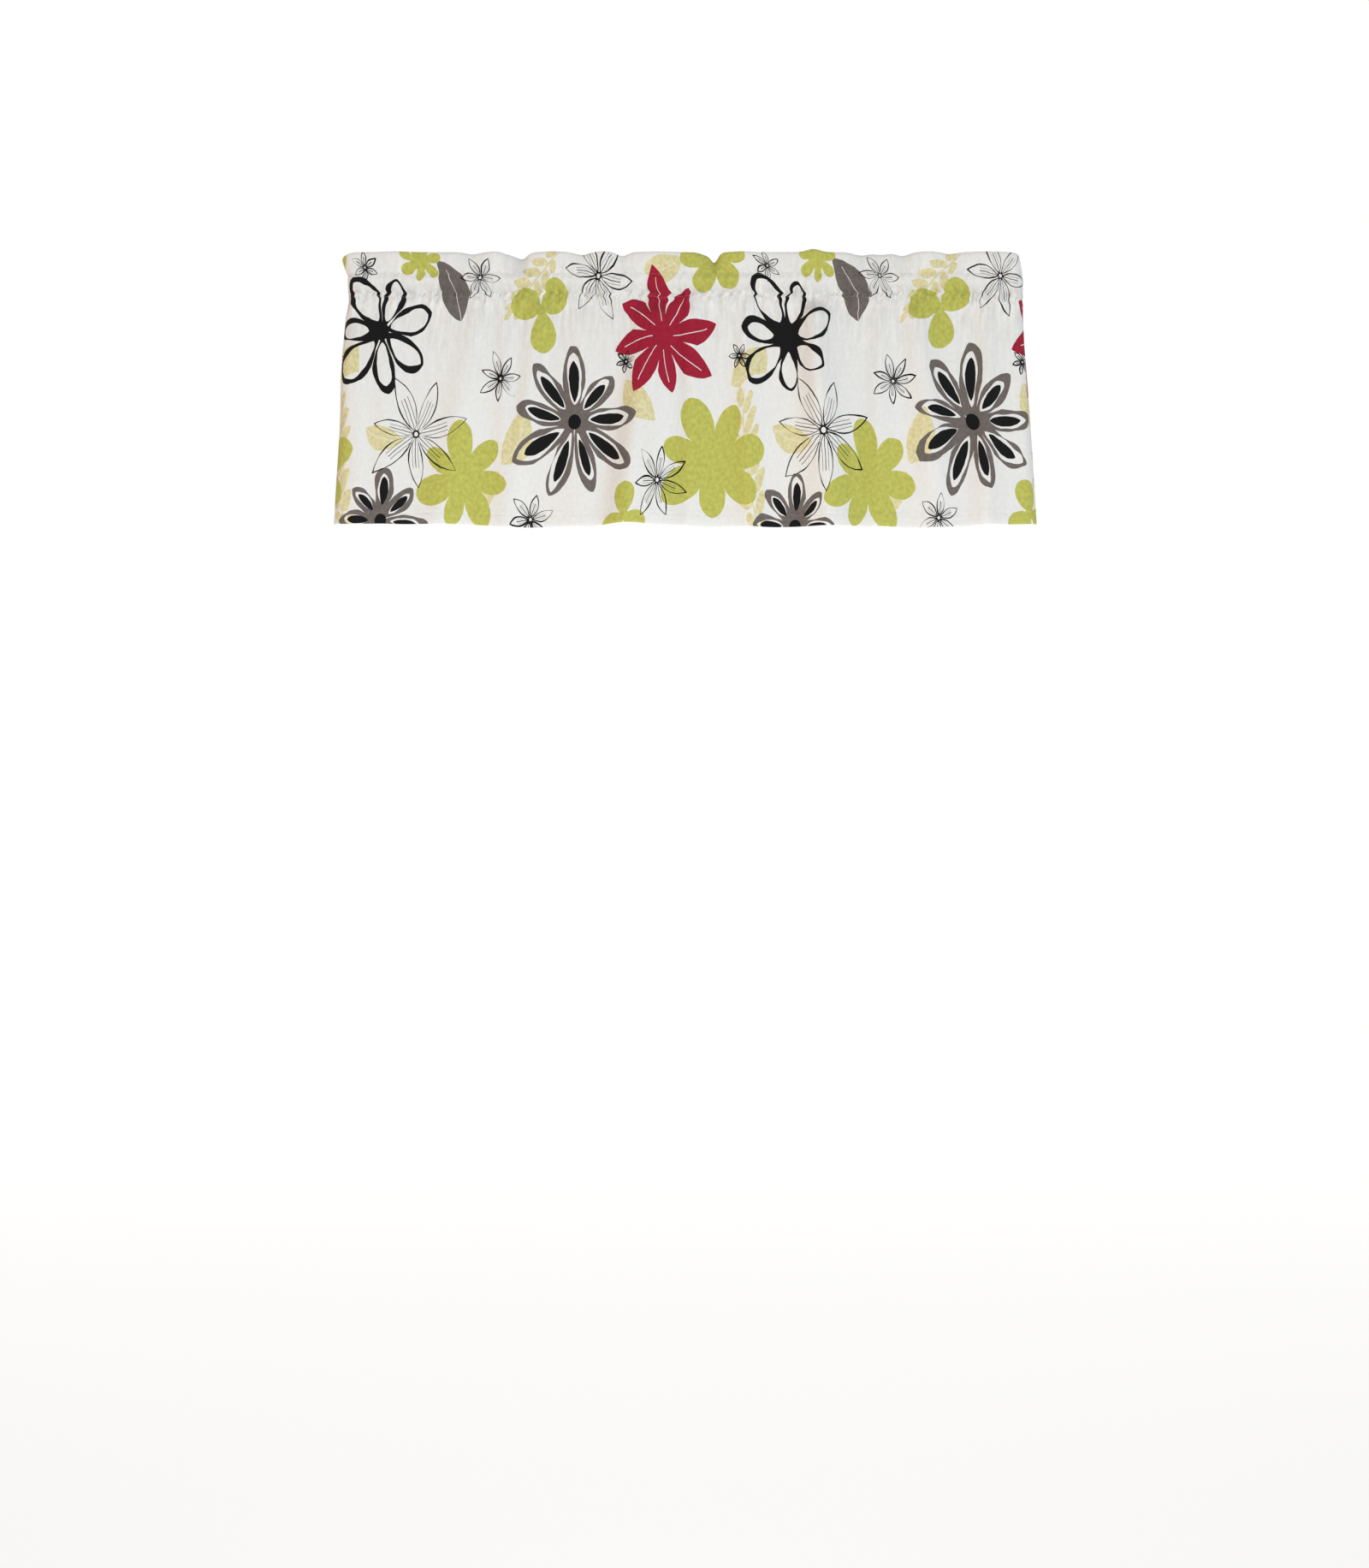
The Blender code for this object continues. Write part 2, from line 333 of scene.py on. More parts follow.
class Bench:
    """Adds nodes to one material."""

    def __init__(self, name: str) -> None:
        """Starts a material, with its shader and output.

        Args:
            name: The material's name.
        """
        self.material = bpy.data.materials.new(name)
        self.material.use_nodes = True
        self.tree = self.material.node_tree
        self.shader = self.tree.nodes["Principled BSDF"]

    def feed(self, socket: bpy.types.NodeSocket, value: Value) -> None:
        """Feeds an input.

        Args:
            socket: The input.
            value: What other nodes work out, or a constant. A number is given to every part of
                a vector or colour.
        """
        if isinstance(value, Flow):
            self.tree.links.new(value.socket, socket)
        elif isinstance(value, tuple) or socket.type == "VALUE":
            socket.default_value = value
        else:
            socket.default_value = (value,) * len(socket.default_value)

    def add(self, kind: str, fed: dict[int, Value], output: int = 0, **settings) -> Flow:
        """Adds a node.

        Args:
            kind: The node's type in Blender.
            fed: What goes into each input, by its number.
            output: The number of the output to return.
            settings: The node's own settings.

        Returns:
            What that output works out.
        """
        node = self.tree.nodes.new(kind)
        for name, setting in settings.items():
            setattr(node, name, setting)
        for number, value in fed.items():
            self.feed(node.inputs[number], value)
        return Flow(self, node.outputs[output])

    def mix(self, mask: Value, low: Value, high: Value) -> Flow:
        """Runs from low to high, as numbers, as mask runs from 0 to 1."""
        return self.add("ShaderNodeMix", {0: mask, 2: low, 3: high}, 0, data_type="FLOAT")

    def mix_vector(self, mask: Value, low: Value, high: Value) -> Flow:
        """Runs from low to high, as vectors, as mask runs from 0 to 1."""
        return self.add("ShaderNodeMix", {0: mask, 4: low, 5: high}, 1, data_type="VECTOR")

    def paint(self, mask: Value, under: Value, ink: Value) -> Flow:
        """Lays an ink over a colour where mask is 1."""
        return self.add("ShaderNodeMix", {0: mask, 6: under, 7: ink}, 2, data_type="RGBA")

    def bump(self, height: Flow, strength: float, scale: float) -> Flow:
        """The normal of a surface with that relief, whose heights are in units of scale."""
        return self.add("ShaderNodeBump", {0: strength, 1: scale, 3: height})

    def graph(self, value: Flow, span: float, stops: tuple[Point, ...]) -> Flow:
        """Reads a level off straight lines between stops.

        Args:
            value: What to look up.
            span: Where the last stop may be at most.
            stops: Each stop's place and level. The first is at 0.

        Returns:
            The level at the value, as a grey.
        """
        level = self.add("ShaderNodeValToRGB", {0: value / span})
        elements = level.socket.node.color_ramp.elements
        elements.remove(elements[1])
        elements[0].color = (stops[0][1],) * 3 + (1.0,)
        for place, height in stops[1:]:
            elements.new(place / span).color = (height,) * 3 + (1.0,)
        return level

    def dressed(self, inputs: dict[str, Value]) -> bpy.types.Material:
        """Feeds the shader.

        Args:
            inputs: What goes into each of the shader's inputs, by its name.

        Returns:
            The finished material.
        """
        for name, value in inputs.items():
            self.feed(self.shader.inputs[name], value)
        return self.material


def linear(red: int, green: int, blue: int) -> Colour:
    """A screen colour as the shader's linear one, by the sRGB curve.

    Args:
        red: The colour's red, up to 255.
        green: Its green.
        blue: Its blue.

    Returns:
        The colour's parts up to 1, with a solid alpha.
    """
    parts = [level / 255 for level in (red, green, blue)]
    lit = [p / 12.92 if p < 0.04045 else ((p + 0.055) / 1.055) ** 2.4 for p in parts]
    return (*lit, 1.0)


class Ink(Enum):
    """The colours printed on the cloth, and the cloth's own."""

    GROUND = linear(231, 230, 227)
    LIME = linear(187, 187, 92)
    CRIMSON = linear(159, 28, 53)
    SAND = linear(218, 209, 161)
    TAUPE = linear(108, 100, 96)
    BLACK = linear(16, 16, 17)
    PENCIL = linear(18, 18, 21)


# --- The print, in millimetres of flat cloth: across the repeat, and down from the ruffle's top ---


@dataclass(frozen=True)
class Flower:
    """A flower or leaf of the print: petals set round a middle. A leaf has one petal."""

    at: Point
    radius: float
    petals: int
    ink: Ink
    turn: float = 0.0  # degrees
    plump: float = 0.4  # a petal's half width over half its length
    hub: float = 6.0  # where the petals start, from the middle
    uneven: float = 0.1  # share by which the petals differ in length
    heart: float = 0.0  # radius of a disc of ink in the middle
    core: float = 2.0  # how far in from its outline a petal turns black; past 1 it doesn't


@dataclass(frozen=True)
class Frond:
    """A curved stem with leaflets on both sides."""

    at: Point
    length: float
    turn: float
    bend: float
    leaflet: float  # length of the longest leaflet
    ink: Ink
    pitch: float = 0.78  # from one leaflet to the next, over the longest one's length
    plump: float = 0.36  # a leaflet's half width, over the same
    slant: float = 0.7  # how far a leaflet leans up the stem, over its distance from it
    stem: float = 1.2  # half width
    swell: Point = (0.8 * math.pi, 0.5)  # the angle that its sine runs through, and starts at
    half: float = 0.48  # of the stem's length, half of what is drawn


@dataclass(frozen=True)
class Layer:
    """Flowers that are drawn alike and don't overlap each other."""

    flowers: tuple[Flower, ...]
    roundness: float  # 0 for pointed petals, 1 for round ones
    egg: float = 0.0  # above 0, petals are widest near their tips
    sweep: float = 0.0  # how far a petal's middle line bows, over its half width
    line: float = 0.0  # width of the outline; 0 fills the petals
    rib: float = 0.0  # width of the bare line up a filled petal
    veins: bool = False


LEAVES = Layer(
    flowers=(
        Flower((646, 96), 88, 1, Ink.TAUPE, turn=118, plump=0.48, hub=0),
        Flower((232, 178), 92, 1, Ink.SAND, turn=-48, plump=0.5, hub=0),
        Flower((414, 190), 82, 1, Ink.SAND, turn=44, plump=0.56, hub=0),
        Flower((28, 300), 84, 2, Ink.SAND, turn=64, plump=0.52, hub=5),
        Flower((270, 30), 74, 1, Ink.SAND, turn=20, plump=0.56, hub=0),
        Flower((488, 246), 70, 1, Ink.SAND, turn=-16, plump=0.54, hub=0),
    ),
    roundness=0.15,
    egg=-0.15,
    sweep=0.35,
    rib=0.9,
)
SILHOUETTES = Layer(
    flowers=(
        Flower((384, 292), 88, 7, Ink.LIME, turn=12, plump=0.51, heart=40),
        Flower((652, 316), 76, 7, Ink.LIME, turn=-8, plump=0.5, heart=34),
        Flower((92, 84), 52, 3, Ink.LIME, turn=40, plump=0.85, heart=9, hub=2),
        Flower((396, 2), 60, 6, Ink.LIME, turn=0, plump=0.62, heart=24),
        Flower((236, 366), 46, 3, Ink.LIME, turn=-25, plump=0.85, heart=8, hub=2),
        Flower((574, 12), 34, 7, Ink.LIME, turn=8, plump=0.52, heart=15),
    ),
    roundness=0.9,
    egg=0.25,
)
DAISIES = Layer(
    flowers=(Flower((304, 118), 90, 8, Ink.CRIMSON, turn=10, plump=0.42, hub=4, heart=19),),
    roundness=0.3,
    egg=0.05,
    sweep=0.2,
    rib=1.2,
)
BRUSHED = Layer(
    flowers=(
        Flower((146, 240), 100, 9, Ink.TAUPE, turn=6, plump=0.3, hub=11, core=0.42),
        Flower((512, 116), 82, 7, Ink.BLACK, turn=20, plump=0.45, hub=11, uneven=0.14),
        Flower((522, 380), 66, 8, Ink.TAUPE, turn=0, plump=0.34, hub=9, core=0.42),
    ),
    roundness=0.75,
    egg=0.3,
    sweep=0.12,
    line=6.0,
)
SKETCHED = Layer(
    flowers=(
        Flower((574, 254), 82, 7, Ink.PENCIL, turn=14, plump=0.32, hub=5),
        Flower((196, 36), 56, 6, Ink.PENCIL, turn=-8, plump=0.36, hub=4),
        Flower((22, 176), 36, 7, Ink.PENCIL, turn=5, plump=0.34, hub=3),
        Flower((298, 322), 50, 7, Ink.PENCIL, turn=30, plump=0.32, hub=4),
        Flower((676, 34), 34, 6, Ink.PENCIL, turn=0, plump=0.4, hub=3),
        Flower((234, 150), 17, 6, Ink.PENCIL, turn=15, plump=0.4, hub=2),
        Flower((432, 148), 18, 6, Ink.PENCIL, turn=0, plump=0.4, hub=2),
        Flower((80, 366), 34, 6, Ink.PENCIL, turn=20, plump=0.4, hub=3),
        Flower((486, 22), 22, 6, Ink.PENCIL, turn=25, plump=0.4, hub=2),
    ),
    roundness=0.1,
    sweep=0.15,
    line=1.7,
    veins=True,
)
FRONDS = (
    Frond((470, 396), 190, 118, 0.0018, 34, Ink.SAND),
    Frond((130, 8), 112, -150, -0.0012, 27, Ink.SAND),
)


@dataclass(frozen=True)
class FlowerPrint:
    """The allover flower print, which repeats across the cloth and down it."""

    repeat: float = 686.0
    down_repeat: float = 460.0
    start: float = 343.0  # where the cloth's middle falls in the repeat
    far: float = 9000.0  # past every flower
    sway: float = 16.0  # the most by which outlines wander over sway_size
    sway_size: float = 120.0
    ragged: float = 0.8  # the same for the small unevenness of an edge
    ragged_size: float = 9.0
    margin: float = 0.02  # share by which a flower's disc passes its longest petal
    press: float = 30.0  # over what length a brush line swells and thins
    thinned: float = 0.02  # share of its width that is taken off a line
    lobes: float = 3.0  # how often petals lengthen and shorten round a flower
    rib_end: float = 0.6  # how far out, along a filled petal from -1 to 1, its bare line runs
    vein_end: float = 0.25  # the same for a pencilled petal's veins
    vein: Point = (0.42, 0.03)  # their place across the petal, and their half width
    ring: float = 0.28  # half width of the ring round a pencilled hub, over the hub's radius
    bare: float = 0.6  # radius of the bare middle inside it, over the same

    def drawn(self, places: Flow) -> tuple[Flow, Flow]:
        """Draws the print.

        Args:
            places: Flat places on the cloth, in millimetres.

        Returns:
            The colour, and a mask that is 1 where there is ink.
        """
        places = self.wandered(places, self.sway, self.sway_size)
        places = self.wandered(places, self.ragged, self.ragged_size)
        colour, inked = Ink.GROUND.value, 0.0
        for mask, ink in self.coats(places + (self.start, 0.0, 0.0)):
            colour = places.bench.paint(mask, colour, ink)
            inked = mask | inked
        return colour, inked

    def coats(self, places: Flow) -> Iterator[Coat]:
        """Works out every coat of ink, in the order of printing.

        Args:
            places: Flat places on the cloth, in millimetres.

        Yields:
            Each coat.
        """
        for frond in FRONDS:
            yield self.frond_mask(places, frond), frond.ink.value
        for layer in (LEAVES, SILHOUETTES, DAISIES, BRUSHED, SKETCHED):
            yield from self.layer_coats(places, layer)

    def wandered(self, places: Flow, most: float, size: float) -> Flow:
        """Shifts places smoothly this way and that, so that outlines look drawn by hand."""
        return places + (places.noise(size, output=1) - 0.5) * most

    def local(self, places: Flow, at: Point) -> Flow:
        """Places measured from the nearest repeat of a point: the difference, wrapped round."""
        half, tall = self.repeat / 2, self.down_repeat / 2
        return (places - (*at, 0.0)).step("WRAP", (half, tall, 1.0), (-half, -tall, -1.0))

    def frond_mask(self, places: Flow, frond: Frond) -> Flow:
        """Where a frond is printed.

        The places are turned so that x runs up the stem, and y is bent by bend times x squared.
        Sheared by the distance off the stem, x is cut into cells, one for each leaflet. A
        leaflet's half width falls with the square of the distance from its middle, and its
        length swells and shrinks up the stem by a sine.

        Args:
            places: Flat places on the cloth, in millimetres.
            frond: What to draw.

        Returns:
            A mask.
        """
        pitch, widest = frond.pitch * frond.leaflet, frond.plump / frond.pitch
        fed = {0: self.local(places, frond.at), 3: math.radians(frond.turn)}
        here = places.bench.add("ShaderNodeVectorRotate", fed, rotation_type="Z_AXIS")
        x, y, _ = here.split()
        y = x * x * -frond.bend + y
        off = abs(y)
        cell = (y.step("SIGN") * (pitch / 4) + (off * -frond.slant + x)) / pitch
        number = cell.step("FLOOR")
        across = abs(cell - number - 0.5)
        share = number * (pitch / frond.length)
        long = (share * frond.swell[0] + frond.swell[1]).step("SINE") * frond.leaflet + 1.0
        lens = off / long * 2.0 - 1.0
        leaflets = across < (lens * lens - 1.0) * -widest
        return (leaflets | (off < frond.stem)) * share.step("COMPARE", frond.half, frond.half)

    def chosen(self, places: Flow, layer: Layer) -> list[Flow]:
        """Finds the flower whose disc holds a place.

        Args:
            places: Flat places on the cloth, in millimetres.
            layer: The flowers to choose from.

        Returns:
            The place measured from that flower's middle, its ink, and vectors of its radius,
            petals and turn, its plumpness, hub and core, and its heart and unevenness.
        """
        bench, first = places.bench, layer.flowers[0].ink
        plain = all(flower.ink is first for flower in layer.flowers)
        here, ink = (self.far, 0.0, 0.0), first.value
        sizes, form, details = (1.0, 1.0, 0.0), (1.0, 0.0, 2.0), (0.0, 0.0, 0.0)
        for flower in layer.flowers:
            local = self.local(places, flower.at)
            disc = flower.radius * (1 + self.margin + flower.uneven)
            inside = local.step("LENGTH", output=1) < disc
            turn = math.radians(flower.turn)
            here = bench.mix_vector(inside, here, local)
            sizes = bench.mix_vector(inside, sizes, (flower.radius, flower.petals, turn))
            form = bench.mix_vector(inside, form, (flower.plump, flower.hub, flower.core))
            details = bench.mix_vector(inside, details, (flower.heart, flower.uneven, 0.0))
            if not plain:
                ink = bench.paint(inside, ink, flower.ink.value)
        return [here, ink, sizes, form, details]

    def layer_coats(self, places: Flow, layer: Layer) -> Iterator[Coat]:
        """Works out a layer of flowers.

        One set of nodes draws whichever flower was chosen. Round its middle, the angle is cut
        into equal shares, one for each petal, with s along the petal from -1 to 1 and q across
        it, from the petal's bowed middle line. A pointed petal ends where q is 1 - s squared,
        and a round one where the root of s squared plus q squared is 1.

        Args:
            places: Flat places on the cloth, in millimetres.
            layer: What to draw.

        Yields:
            Each coat of the layer's ink.
        """
        here, ink, sizes, form, details = self.chosen(places, layer)
        x, y, _ = here.split()
        away = here.step("LENGTH", output=1)
        radius, petals, turn = sizes.split()
        plump, hub, core = form.split()
        heart, uneven, _ = details.split()
        angle = y.step("ARCTAN2", x) + turn
        turns = petals * (1 / TAU)
        own = (angle * turns).step("ROUND") / turns
        off = angle - own
        radius = radius * ((own * self.lobes + turn).step("SINE") * uneven + 1.0)
        along = away * off.step("COSINE")
        half = (radius - hub) * 0.5
        s = (along - hub) / half - 1.0
        squared = s * s
        wide = (s * layer.egg + 1.0) * plump * half
        bow = squared * layer.sweep - layer.sweep
        q = abs(away * off.step("SINE") / wide + bow)
        pointed = q + squared - 1.0
        oval = (q * q + squared).step("SQRT") - 1.0
        edge = places.bench.mix(layer.roundness, pointed, oval)
        inside = edge < 0.0
        middle = q * wide

        if not layer.line:
            if layer.rib:
                inside = inside - (middle < layer.rib / 2) * (s < self.rib_end)
            yield inside | (away < heart), ink
            return

        press = places.noise(self.press) * layer.line - layer.line * self.thinned
        outline = (edge * wide).step("COMPARE", 0.0, press)
        if layer.veins:
            veins = q.step("COMPARE", *self.vein) | (middle < layer.line / 3)
            veins = veins * (s < self.vein_end) * inside
            ring = away.step("COMPARE", hub, hub * self.ring)
            yield (outline | veins | ring) * (hub * self.bare < away), ink
            return

        yield outline, ink
        yield (edge < core * -1.0) | (away < hub), Ink.BLACK.value


@dataclass(frozen=True)
class PrintedCotton:
    """The finish of the cloth: matt plain-weave cotton with a flower print, in millimetres."""

    thread: float = 0.55  # from one thread to the next
    weave_depth: float = 0.02
    crinkle_size: float = 5.5
    crinkle_depth: float = 1.6
    crinkle_drawn: float = 0.45  # a crinkle's width over its length down the cloth
    crinkle_least: float = 0.18  # share of the crinkles' depth that is left far from a seam
    # each seam's distance down, how far from it the cloth crinkles, and how much
    seams: tuple[tuple[float, float, float], ...] = ((31, 14, 1.2), (62, 18, 1.8), (366, 12, 0.7))
    ghost: float = 0.22  # how much of the print shows through on the reverse
    # painted shade: how much darker the cloth is painted where creases finer than the mesh would
    # hold shade, by distance down
    painted_shade_by_depth: tuple[Point, ...] = (
        (0, 0.018), (50, 0.018), (57, 0.088), (65, 0.088), (71, 0.066),
        (90, 0.058), (108, 0.042), (140, 0.026), (200, 0.01), (260, 0.0),
    )
    painted_shade_span: float = 300.0
    shade_streak_size: float = 7.0
    shade_streak_drawn: float = 0.2  # the same for a streak
    shade_streak_contrast: float = 5.2
    grain_size: float = 6.0
    ground_speckle: float = 0.12  # how far the cloth's own colour varies
    ink_speckle: float = 0.52  # how far the inks vary
    roughness: float = 0.86
    ink_roughness: float = 0.8
    sheen: float = 0.05
    shine: float = 0.18
    pattern: FlowerPrint = field(default_factory=FlowerPrint)

    def material(self) -> bpy.types.Material:
        """Makes the material, which reads the cloth's flat map and its reverse attribute.

        Returns:
            The material.
        """
        bench = Bench("printed_cotton")
        places = bench.add("ShaderNodeUVMap", {}, uv_map=Cloth.flat_map) * (1 / MM)
        colour, inked = self.pattern.drawn(places)
        grain = places.noise(self.grain_size, detail=3.5) - 0.5
        reach = bench.mix(inked, self.ground_speckle, self.ink_speckle)
        # grain varies the tone at random; the painted crease shade darkens the base colour near the
        # seams
        colour = colour * (grain * reach + 1.0 - self.painted_crease_shade(places))
        reverse = bench.add("ShaderNodeAttribute", {}, 2, attribute_name=Cloth.reverse_mark)
        faded = bench.paint(self.ghost, Ink.GROUND.value, colour)
        return bench.dressed(
            {
                "Base Color": bench.paint(reverse, colour, faded),
                "Roughness": bench.mix(inked, self.roughness, self.ink_roughness),
                "Specular IOR Level": self.shine,
                "Sheen Weight": self.sheen,
                "Sheen Roughness": 0.5,
                "Normal": bench.bump(self.relief(places), 1.0, MM),
            }
        )

    def painted_crease_shade(self, places: Flow) -> Flow:
        """Painted shade of the finest gathers, streaked down the cloth and darker by the table.

        A streak is noise times the contrast, moved so that its mean stays 1.

        Args:
            places: Flat places on the cloth, in millimetres.

        Returns:
            The share of the colour that the painted shade takes away.
        """
        # painted shade by distance down, read off the table
        most = places.bench.graph(abs(places.split()[1]), self.painted_shade_span, self.painted_shade_by_depth)
        shade_streaks = (places * (1.0, self.shade_streak_drawn, 1.0)).noise(self.shade_streak_size, detail=2.0)
        return (shade_streaks * self.shade_streak_contrast + (1 - self.shade_streak_contrast / 2)) * most

    def relief(self, places: Flow) -> Flow:
        """The weave and the finest crinkles.

        Warp and weft pass over each other as the product of two sines. Crinkles are noise
        drawn out down the cloth. They fade with the distance from the nearest seam.

        Args:
            places: Flat places on the cloth, in millimetres.

        Returns:
            A height in millimetres.
        """
        x, y, _ = places.split()
        turns = TAU / self.thread
        weave = (x * turns).step("SINE") * (y * turns).step("SINE") * self.weave_depth
        drawn_out = places * (1.0, self.crinkle_drawn, 1.0)
        crinkle = drawn_out.noise(self.crinkle_size, detail=1.0)
        down = abs(y)
        near = self.crinkle_least
        for seam, reach, share in self.seams:
            near = (abs(down - seam) * (-1 / reach) + 1.0) * share | near
        return crinkle * (near * self.crinkle_depth) + weave


@dataclass(frozen=True)
class SpunThread:
    """The finish of the stitches: twisted cotton thread, near the colour of the ground."""

    twist: float = 0.9  # millimetres from one ply to the next
    lump_size: float = 1.3
    shaded: Colour = linear(176, 172, 160)
    lit: Colour = linear(212, 208, 198)
    groove: float = 0.1  # millimetres from the top of a ply down to the groove beside it
    strength: float = 0.5  # share of the groove that shows
    roughness: float = 0.7
    sheen: float = 0.2

    def material(self) -> bpy.types.Material:
        """Makes the material, on which slanted bands stand for the thread's plies.

        Returns:
            The material.
        """
        bench = Bench("sewing_thread")
        place = bench.add("ShaderNodeTexCoord", {}, 3) * (1 / MM)
        colour = bench.paint(place.noise(self.lump_size, detail=1.0), self.shaded, self.lit)
        x, y, z = place.split()
        ply = ((x + y + z) * (TAU / self.twist)).step("SINE")
        return bench.dressed(
            {
                "Base Color": colour,
                "Roughness": self.roughness,
                "Sheen Weight": self.sheen,
                "Normal": bench.bump(ply, self.strength, self.groove * MM),
            }
        )


# --- The cloth ---


class Strip(NamedTuple):
    """Rows of the cloth, from one end of its cut length towards the other."""

    down: np.ndarray  # flat distance from the ruffle's top, down the front; one for each row
    offset: np.ndarray  # rows by columns
    z: np.ndarray  # the same
    along: np.ndarray  # the same, or one for each column
    half_front: np.ndarray | float  # one for each row, or one for all


@dataclass
class Cloth:
    """The whole length of cloth, from the pocket's turned edge, over the ruffle, to the hem."""

    rod: RodLine = field(default_factory=RodLine)
    finish: PrintedCotton = field(default_factory=PrintedCotton)
    hem_width: float = 0.9895
    drop: float = 0.381
    ruffle: float = 0.031
    pocket: float = 0.032
    allowance: float = 0.0025  # turned in below the lower line of stitching
    hem: float = 0.015
    side_hem: float = 0.012
    hem_fade: float = 0.002  # over what width a side hem thins out to the single cloth
    solid: float = 0.0012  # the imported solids' thickness
    thickness: float = 0.0008
    flat: Point = (1.27, 0.49)  # the cut, with its turnings
    seam_set: float = 0.0038  # how far in front of the rod's line the seams lie
    shoulder: float = 0.0105  # over what height the pocket swells out from a seam
    neck: float = 0.026  # over what height the folds leave the seam
    fold_backset: float = 0.36  # how far back the cloth is set, over the folds' mean depth
    fold_start: float = 0.22  # share of its depth that a fold has at the rod
    fold_taper: float = 0.62  # the same for its reach
    flare_curve: float = 0.8  # power of the fall by which the front widens
    seam_half: float = 0.00045  # half of the spacing of two layers that are stitched together
    top_half: float = 0.0011  # the same at the ruffle's fold
    top_drop: float = 0.0011  # how far the ruffle's top edge hangs under its height
    puff: float = 0.0009  # how far the ruffle's layers swell apart
    hem_turn: float = 0.0005  # radius of the hem's fold
    pucker: float = 0.00095  # height of the puckers
    seam_wander: float = 0.0012  # the most by which a seam rises or falls
    hem_pinch: float = 0.0004  # how far its stitches pull the hem in
    hem_roll: float = 0.0003  # how far it rolls beside them
    columns: int = 476

    flat_map = "flat_cloth"
    reverse_mark = "reverse_side"

    def __post_init__(self) -> None:
        """Works out the heights of the seams and the places of the columns."""
        self.upper_seam = -self.ruffle
        self.lower_seam = self.upper_seam - self.pocket
        self.base = self.lower_seam - self.allowance
        self.flare = (self.hem_width - self.rod.width) / 2
        half = self.rod.half_length
        self.places = np.linspace(-half, half, self.columns)

    def puckers(self, z: np.ndarray) -> np.ndarray:
        """Fine uneven puckers: two sines whose phase and height wander along the cloth.

        Args:
            z: Height of each row. The waves shift a little with it, so that no pucker is quite
                upright, and the table says how much of them is left there.

        Returns:
            How far they stand off the cloth, as rows by columns.
        """
        s, down = self.places / MM, -z / MM
        beat = 1.9 * wave(s, 83, 0.8) + 1.1 * wave(s, 141)
        slant = 1.3 * wave(s, 117, down / 13)
        large = wave(s, 17.5, beat + slant) * (0.6 + 0.4 * wave(s, 57, 2.1))
        small = wave(s, 9.3, 1.3 * wave(s, 47) - slant) * (0.3 + 0.25 * wave(s, 38, down / 21))
        return self.pucker * (large + small) * np.interp(down, *zip(*PUCKER_SHARES))

    def wander(self, z: np.ndarray) -> np.ndarray:
        """How the seams rise and fall along the cloth: two sines, less to top and hem.

        Args:
            z: Height of each row on the flat cloth.

        Returns:
            How far each place is raised, as rows by columns.
        """
        s, down = self.places / MM, np.abs(z) / MM
        line = 0.6 * wave(s, 71, 1.0) + 0.4 * wave(s, 29, np.sin(s / 40))
        return self.seam_wander * line * eased((down - 8) / 18) * eased((120 - down) / 45)

    def ridges(self, rows: tuple[NamedTuple, ...], measure: str) -> np.ndarray:
        """The sum of a table's ridges.

        Args:
            rows: The table.
            measure: The column that holds the ridges' heights.

        Returns:
            The sum at each place along the cloth.
        """
        s = self.places / MM
        return sum(getattr(row, measure) * ridge(s - row.at, row.reach) for row in rows) * MM

    def ruffle_shape(self) -> tuple[np.ndarray, np.ndarray]:
        """How far the ruffle's top edge drops, and leans back, along the cloth."""
        return self.ridges(TUCKS, "drop") + self.top_drop, self.ridges(TUCKS, "lean")

    def heading(self, z: np.ndarray, side: int) -> Strip:
        """Rows of the ruffle and pocket.

        Both layers follow the line of the seams, leaning with the ruffle's tucks and standing a
        little apart. Between the seams they swell out to the rod by the sine of the distance
        from the nearer seam over the shoulder.

        Args:
            z: The rows' heights on the flat cloth, in the order in which they run.
            side: 1 for the front layer, -1 for the back one.

        Returns:
            The rows.
        """
        z = z[:, None]
        drop, lean = self.ruffle_shape()
        up = np.clip((z - self.upper_seam) / self.ruffle, 0, 1)
        inside = np.minimum(self.upper_seam - z, z - self.lower_seam)
        swell = np.sin(np.clip(inside / self.shoulder, 0, 1) * math.pi / 2)
        apart = self.seam_half + (self.top_half - self.seam_half) * up
        apart = apart + self.puff * np.sin(math.pi * up)
        pucker = self.puckers(z)
        seam = self.seam_set - lean * up + pucker + side * apart
        skin = self.rod.stand - self.thickness / 2
        if side > 0:
            skin = skin + self.ridges(GATHERS, "height") + pucker
        else:
            skin = -skin - pucker / 2
        out = seam + (skin - seam) * swell
        raised = self.wander(z) - drop * up
        return Strip(-side * z[:, 0], out, z + raised, self.places, self.rod.half_front)

    def top_fold(self, steps: int) -> Strip:
        """The ruffle's top: a half circle from the back layer to the front one.

        Args:
            steps: The number of rows.

        Returns:
            The rows.
        """
        angle = np.linspace(0, math.pi, steps + 2)[1:-1, None]
        drop, lean = self.ruffle_shape()
        forward = -self.top_half * np.cos(angle)
        z = -drop - self.top_half + self.top_half * np.sin(angle)
        out = self.seam_set - lean + self.puckers(np.zeros((1, 1))) + forward
        return Strip(forward[:, 0], out, z, self.places, self.rod.half_front)

    def fold_offset(self, along: np.ndarray, fall: np.ndarray) -> np.ndarray:
        """How far the hanging cloth stands in front of the rod's line.

        Each fold is a ridge about a crest that runs straight from the rod to the hem. Its depth
        grows by 1 - (1 - fall) squared, and its reach widens evenly.

        Args:
            along: Distance from the middle, along the line.
            fall: Share of the way down from the pocket to the hem.

        Returns:
            How far out each place is.
        """
        grown = self.fold_start + (1 - self.fold_start) * (1 - (1 - fall) ** 2)
        ridges, mean = 0, 0
        for fold in FOLDS:
            crest = fold.rod_at + (fold.hem_at - fold.rod_at) * fall
            reach = fold.reach * (self.fold_taper + (1 - self.fold_taper) * fall)
            height = fold.depth * grown * (1 - (1 - fold.kept) * fall)
            ridges = ridges + height * ridge(along / MM - crest, reach)
            mean = mean + height / len(FOLDS)
        return self.seam_set + (ridges - self.fold_backset * mean) * MM

